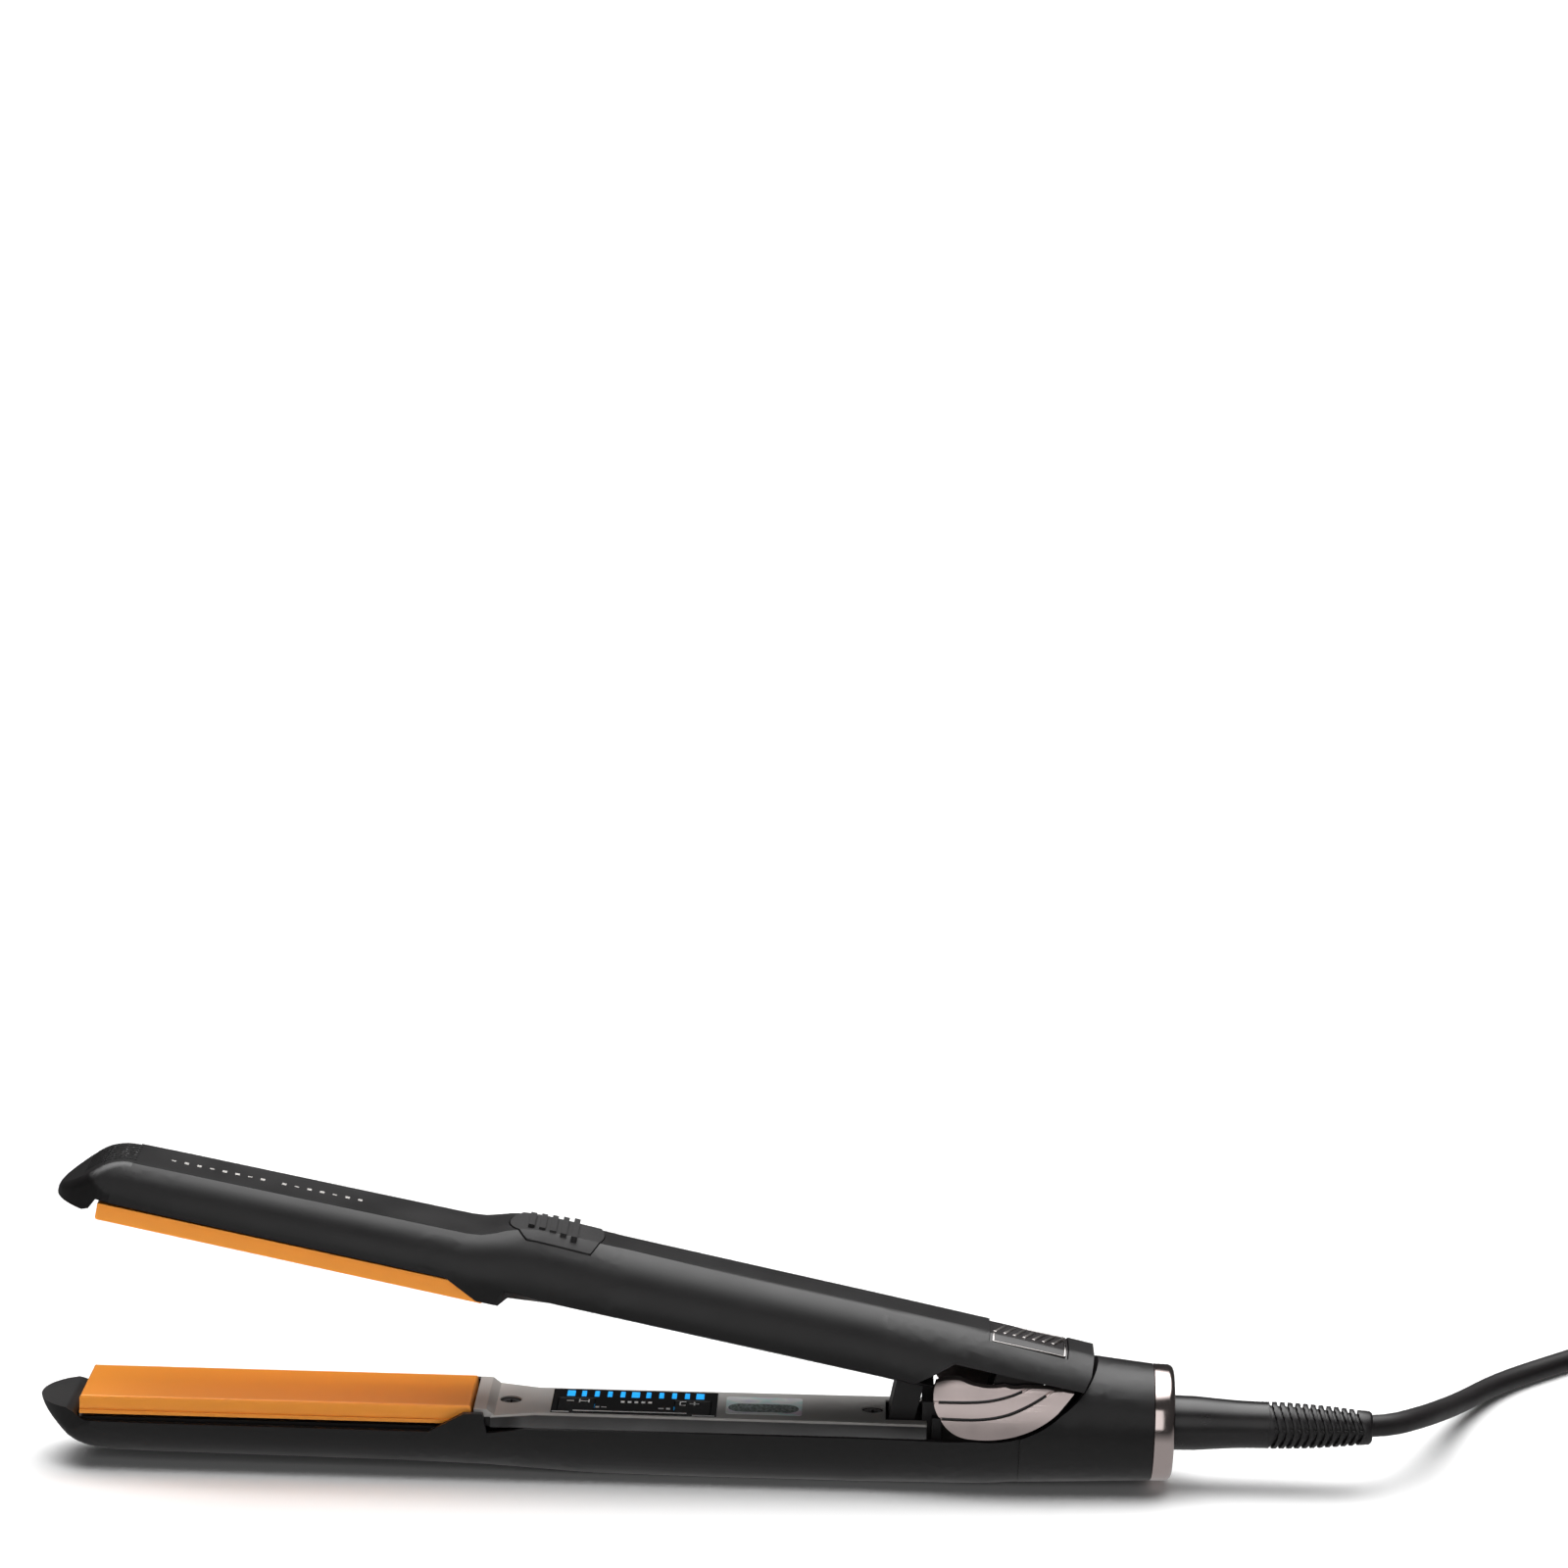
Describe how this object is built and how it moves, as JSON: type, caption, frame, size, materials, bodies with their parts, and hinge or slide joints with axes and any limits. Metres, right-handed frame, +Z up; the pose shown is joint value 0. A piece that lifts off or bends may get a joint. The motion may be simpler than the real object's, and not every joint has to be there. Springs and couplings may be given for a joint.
{
  "type": "hair straightening iron",
  "caption": "Flat iron for hair: two hinged slim arms with sprung heated plates, touch keys, and a mains cord on a swivel.",
  "frame": {"origin": "centre of the footprint of the iron (nose to strain relief, without the free cord), on the surface that it lies on", "axes": "+X along the lower arm towards the cord end, +Y across it away from the keys' front edge, +Z up; the hinge axis is along Y"},
  "size_m": [0.4842, 0.1505, 0.0786],
  "materials": {
    "soft_touch_black": "matt soft-touch",
    "cover_grey": "satin moulded",
    "copper_plate": "polished ceramic-coated",
    "heater_ceramic": "fired ceramic",
    "spring_steel": "bright",
    "carrier_black": "matt heat-proof",
    "silicone": "matt",
    "display_black": "gloss",
    "key_black": "gloss",
    "led_blue": "translucent blue",
    "board_green": "solder mask",
    "component_black": "moulded epoxy",
    "label_silver": "brushed foil",
    "dark_chrome": "dark nickel",
    "badge_metal": "brushed",
    "grip_rubber": "matt ribbed",
    "neck_black": "satin",
    "relief_rubber": "matt ribbed",
    "slip_brass": "turned",
    "cord_pvc": "satin PVC",
    "tie_fabric": "woven hook and loop",
    "plug_pvc": "moulded PVC",
    "plug_nickel": "nickel plated"
  },
  "bodies": {
    "lower_arm": {"lower_casing": "soft_touch_black", "lower_inner_cover": "cover_grey", "lower_plate_carrier": "carrier_black", "lower_cushions": "silicone", "lower_cover_screws": "spring_steel", "display_window": "display_black", "led_light_guides": "led_blue", "control_board": "board_green", "tact_switches": "component_black", "board_components": "component_black", "control_label": "label_silver", "hinge_yoke": "carrier_black", "hinge_pin": "spring_steel", "hinge_washers": "spring_steel", "hinge_spring": "spring_steel", "hinge_cap_front": "dark_chrome", "hinge_cap_back": "dark_chrome", "collar_ring": "dark_chrome", "end_cap": "carrier_black", "brush_block": "carrier_black", "cord_lead": "cord_pvc", "cord_coil": "cord_pvc", "cord_tail": "cord_pvc", "cord_tie": "tie_fabric", "plug_body": "plug_pvc", "plug_pins": "plug_nickel"},
    "upper_arm": {"upper_casing": "soft_touch_black", "upper_inner_cover": "cover_grey", "upper_plate_carrier": "carrier_black", "upper_cushions": "silicone", "upper_cover_screws": "spring_steel", "thumb_grip": "grip_rubber", "badge_plate": "badge_metal", "trim_strip": "cover_grey", "upper_switch_board": "board_green", "upper_switch": "component_black", "thermal_fuse": "component_black", "wire_guide": "cover_grey"},
    "lower_plate_set": {"lower_plate": "copper_plate", "lower_heater": "heater_ceramic", "lower_heater_clip": "spring_steel"},
    "upper_plate_set": {"upper_plate": "copper_plate", "upper_heater": "heater_ceramic", "upper_heater_clip": "spring_steel"},
    "minus_key": {"minus_button": "key_black"},
    "plus_key": {"plus_button": "key_black"},
    "power_key": {"power_button": "key_black"},
    "swivel": {"swivel_neck": "neck_black", "strain_relief": "relief_rubber", "slip_rings": "slip_brass"}
  },
  "joints": [
    {"name": "arm_hinge", "type": "hinge", "parent": "lower_arm", "child": "upper_arm", "pos_m": [0.0758, 0, 0.0194], "axis": [0, 1, 0], "range_deg": [-11.3, 0], "stiffness_Nm_per_rad": 1, "springref_deg": 22.92},
    {"name": "lower_plate_float", "type": "slide", "parent": "lower_arm", "child": "lower_plate_set", "axis": [0, 0, -1], "range_m": [0, 0.0008], "stiffness_N_per_m": 4000, "springref_m": -0.0006},
    {"name": "upper_plate_float", "type": "slide", "parent": "upper_arm", "child": "upper_plate_set", "axis": [0.1959, 0, 0.9806], "range_m": [0, 0.0008], "stiffness_N_per_m": 4000, "springref_m": -0.0006},
    {"name": "minus_press", "type": "slide", "parent": "lower_arm", "child": "minus_key", "axis": [0, 0, -1], "range_m": [0, 0.0004], "stiffness_N_per_m": 1500, "springref_m": -0.0004},
    {"name": "plus_press", "type": "slide", "parent": "lower_arm", "child": "plus_key", "axis": [0, 0, -1], "range_m": [0, 0.0004], "stiffness_N_per_m": 1500, "springref_m": -0.0004},
    {"name": "power_press", "type": "slide", "parent": "upper_arm", "child": "power_key", "axis": [0.1959, 0, 0.9806], "range_m": [0, 0.0004], "stiffness_N_per_m": 1500, "springref_m": -0.0004},
    {"name": "cord_swivel", "type": "hinge", "parent": "lower_arm", "child": "swivel", "pos_m": [0.114, 0, 0.016], "axis": [1, 0, 0], "continuous": true}
  ]
}
